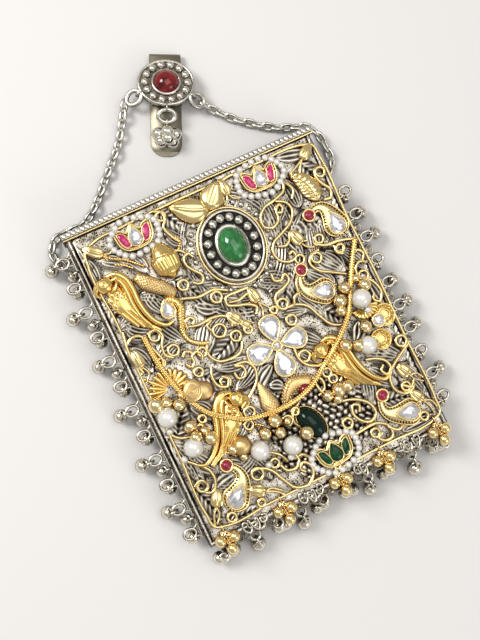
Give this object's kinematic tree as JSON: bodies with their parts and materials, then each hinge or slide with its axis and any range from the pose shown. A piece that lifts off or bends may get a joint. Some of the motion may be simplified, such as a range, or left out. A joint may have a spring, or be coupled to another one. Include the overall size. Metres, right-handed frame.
{
  "type": "clutch bag",
  "caption": "Hinged box clutch of oxidised silver sheet with a gold wirework and stone panel, edge bells, and a belt hook on chains; carries small things at the waist.",
  "frame": {"origin": "middle of the bag's back, on the surface it lies on, at the middle of its box without chains and hook", "axes": "+X to the bag's right seen from the front, +Y from its bottom to its lid, +Z out of the decorated front"},
  "size_m": [0.1367, 0.2156, 0.0237],
  "materials": {
    "silver": "oxidised, dark in its recesses",
    "gold": "pale gold wash, polished",
    "green_stone": "polished, marbled jade green",
    "dark_green_stone": "polished, deep green",
    "red_stone": "polished, deep red",
    "pink_enamel": "clear pink stones over foil",
    "clear_stone": "clear stones over silver foil"
  },
  "bodies": {
    "bag": {"back_plate": "silver", "bottom_wall": "silver", "chain_left": "silver", "chain_lug_left": "silver", "chain_lug_right": "silver", "chain_right": "silver", "dark_cabochon": "dark_green_stone", "edge_wire_bottom": "silver", "edge_wire_left": "silver", "edge_wire_right": "silver", "filigree_frame": "gold", "front_plate": "silver", "green_cabochon": "green_stone", "hinge_pin": "silver", "hook_bell_ring": "silver", "hook_cabochon": "red_stone", "hook_disc": "silver", "hook_ring_left": "silver", "hook_ring_right": "silver", "hook_strip": "silver", "kundan_flower": "clear_stone", "left_wall": "silver", "lotus_green": "dark_green_stone", "lotus_left": "pink_enamel", "lotus_right": "pink_enamel", "oval_bezel": "silver", "paisley_lower_left": "gold", "paisley_lower_right": "gold", "paisley_middle": "gold", "paisley_upper": "gold", "parrot_left": "gold", "parrot_middle": "gold", "parrot_right": "gold", "right_wall": "silver"},
    "lid": {"lid_cap": "silver", "lid_trim": "silver", "lid_gold_wire": "gold"},
    "bell_left_1": {"bell_left_1": "silver"},
    "bell_left_2": {"bell_left_2": "silver"},
    "bell_left_3": {"bell_left_3": "silver"},
    "bell_left_4": {"bell_left_4": "silver"},
    "bell_left_5": {"bell_left_5": "silver"},
    "bell_left_6": {"bell_left_6": "silver"},
    "bell_right_1": {"bell_right_1": "silver"},
    "bell_right_2": {"bell_right_2": "silver"},
    "bell_right_3": {"bell_right_3": "silver"},
    "bell_right_4": {"bell_right_4": "silver"},
    "bell_bottom_1": {"bell_bottom_1": "silver"},
    "bell_bottom_2": {"bell_bottom_2": "silver"},
    "bell_bottom_3": {"bell_bottom_3": "silver"},
    "bell_bottom_4": {"bell_bottom_4": "silver"},
    "bell_bottom_5": {"bell_bottom_5": "silver"},
    "bell_bottom_6": {"bell_bottom_6": "silver"},
    "gold_drop_1": {"gold_drop_1": "gold"},
    "gold_drop_2": {"gold_drop_2": "gold"},
    "gold_drop_3": {"gold_drop_3": "gold"},
    "gold_drop_4": {"gold_drop_4": "gold"},
    "gold_drop_5": {"gold_drop_5": "gold"},
    "hook_bells": {"hook_bells": "silver"}
  },
  "joints": [
    {"name": "lid_hinge", "type": "hinge", "parent": "bag", "child": "lid", "pos_m": [0, 0.0765, 0.0017], "axis": [-1, 0, 0], "range_deg": [0, 90], "deforming": ["chain_left", "chain_right"]},
    {"name": "bell_left_1_swing", "type": "hinge", "parent": "bag", "child": "bell_left_1", "pos_m": [-0.0626, 0.05183, 0.011], "axis": [-1, 0, 0], "range_deg": [-35, 95]},
    {"name": "bell_left_2_swing", "type": "hinge", "parent": "bag", "child": "bell_left_2", "pos_m": [-0.0626, 0.02883, 0.011], "axis": [-1, 0, 0], "range_deg": [-35, 95]},
    {"name": "bell_left_3_swing", "type": "hinge", "parent": "bag", "child": "bell_left_3", "pos_m": [-0.0626, 0.00583, 0.011], "axis": [-1, 0, 0], "range_deg": [-35, 95]},
    {"name": "bell_left_4_swing", "type": "hinge", "parent": "bag", "child": "bell_left_4", "pos_m": [-0.0626, -0.01717, 0.011], "axis": [-1, 0, 0], "range_deg": [-35, 95]},
    {"name": "bell_left_5_swing", "type": "hinge", "parent": "bag", "child": "bell_left_5", "pos_m": [-0.0626, -0.04017, 0.011], "axis": [-1, 0, 0], "range_deg": [-35, 95]},
    {"name": "bell_left_6_swing", "type": "hinge", "parent": "bag", "child": "bell_left_6", "pos_m": [-0.0626, -0.06317, 0.011], "axis": [-1, 0, 0], "range_deg": [-35, 95]},
    {"name": "bell_right_1_swing", "type": "hinge", "parent": "bag", "child": "bell_right_1", "pos_m": [0.0626, 0.04183, 0.011], "axis": [-1, 0, 0], "range_deg": [-35, 95]},
    {"name": "bell_right_2_swing", "type": "hinge", "parent": "bag", "child": "bell_right_2", "pos_m": [0.0626, 0.00823, 0.011], "axis": [-1, 0, 0], "range_deg": [-35, 95]},
    {"name": "bell_right_3_swing", "type": "hinge", "parent": "bag", "child": "bell_right_3", "pos_m": [0.0626, -0.03657, 0.011], "axis": [-1, 0, 0], "range_deg": [-35, 95]},
    {"name": "bell_right_4_swing", "type": "hinge", "parent": "bag", "child": "bell_right_4", "pos_m": [0.0626, -0.05897, 0.011], "axis": [-1, 0, 0], "range_deg": [-35, 95]},
    {"name": "bell_bottom_1_swing", "type": "hinge", "parent": "bag", "child": "bell_bottom_1", "pos_m": [-0.0495, -0.07577, 0.011], "axis": [-1, 0, 0], "range_deg": [-35, 95]},
    {"name": "bell_bottom_2_swing", "type": "hinge", "parent": "bag", "child": "bell_bottom_2", "pos_m": [-0.0275, -0.07577, 0.011], "axis": [-1, 0, 0], "range_deg": [-35, 95]},
    {"name": "bell_bottom_3_swing", "type": "hinge", "parent": "bag", "child": "bell_bottom_3", "pos_m": [-0.0055, -0.07577, 0.011], "axis": [-1, 0, 0], "range_deg": [-35, 95]},
    {"name": "bell_bottom_4_swing", "type": "hinge", "parent": "bag", "child": "bell_bottom_4", "pos_m": [0.0055, -0.07577, 0.011], "axis": [-1, 0, 0], "range_deg": [-35, 95]},
    {"name": "bell_bottom_5_swing", "type": "hinge", "parent": "bag", "child": "bell_bottom_5", "pos_m": [0.0275, -0.07577, 0.011], "axis": [-1, 0, 0], "range_deg": [-35, 95]},
    {"name": "bell_bottom_6_swing", "type": "hinge", "parent": "bag", "child": "bell_bottom_6", "pos_m": [0.0495, -0.07577, 0.011], "axis": [-1, 0, 0], "range_deg": [-35, 95]},
    {"name": "gold_drop_1_swing", "type": "hinge", "parent": "bag", "child": "gold_drop_1", "pos_m": [-0.05025, -0.0635, 0.0177], "axis": [-1, 0, 0], "range_deg": [0, 80]},
    {"name": "gold_drop_2_swing", "type": "hinge", "parent": "bag", "child": "gold_drop_2", "pos_m": [-0.02325, -0.0635, 0.0177], "axis": [-1, 0, 0], "range_deg": [0, 80]},
    {"name": "gold_drop_3_swing", "type": "hinge", "parent": "bag", "child": "gold_drop_3", "pos_m": [0.00375, -0.0635, 0.0177], "axis": [-1, 0, 0], "range_deg": [0, 80]},
    {"name": "gold_drop_4_swing", "type": "hinge", "parent": "bag", "child": "gold_drop_4", "pos_m": [0.02475, -0.0635, 0.0177], "axis": [-1, 0, 0], "range_deg": [0, 80]},
    {"name": "gold_drop_5_swing", "type": "hinge", "parent": "bag", "child": "gold_drop_5", "pos_m": [0.05225, -0.0635, 0.0177], "axis": [-1, 0, 0], "range_deg": [0, 80]},
    {"name": "hook_bells_swing", "type": "hinge", "parent": "bag", "child": "hook_bells", "pos_m": [0.00468, 0.10511, 0.00647], "axis": [0, 0, 1], "range_deg": [-20, 20]}
  ]
}
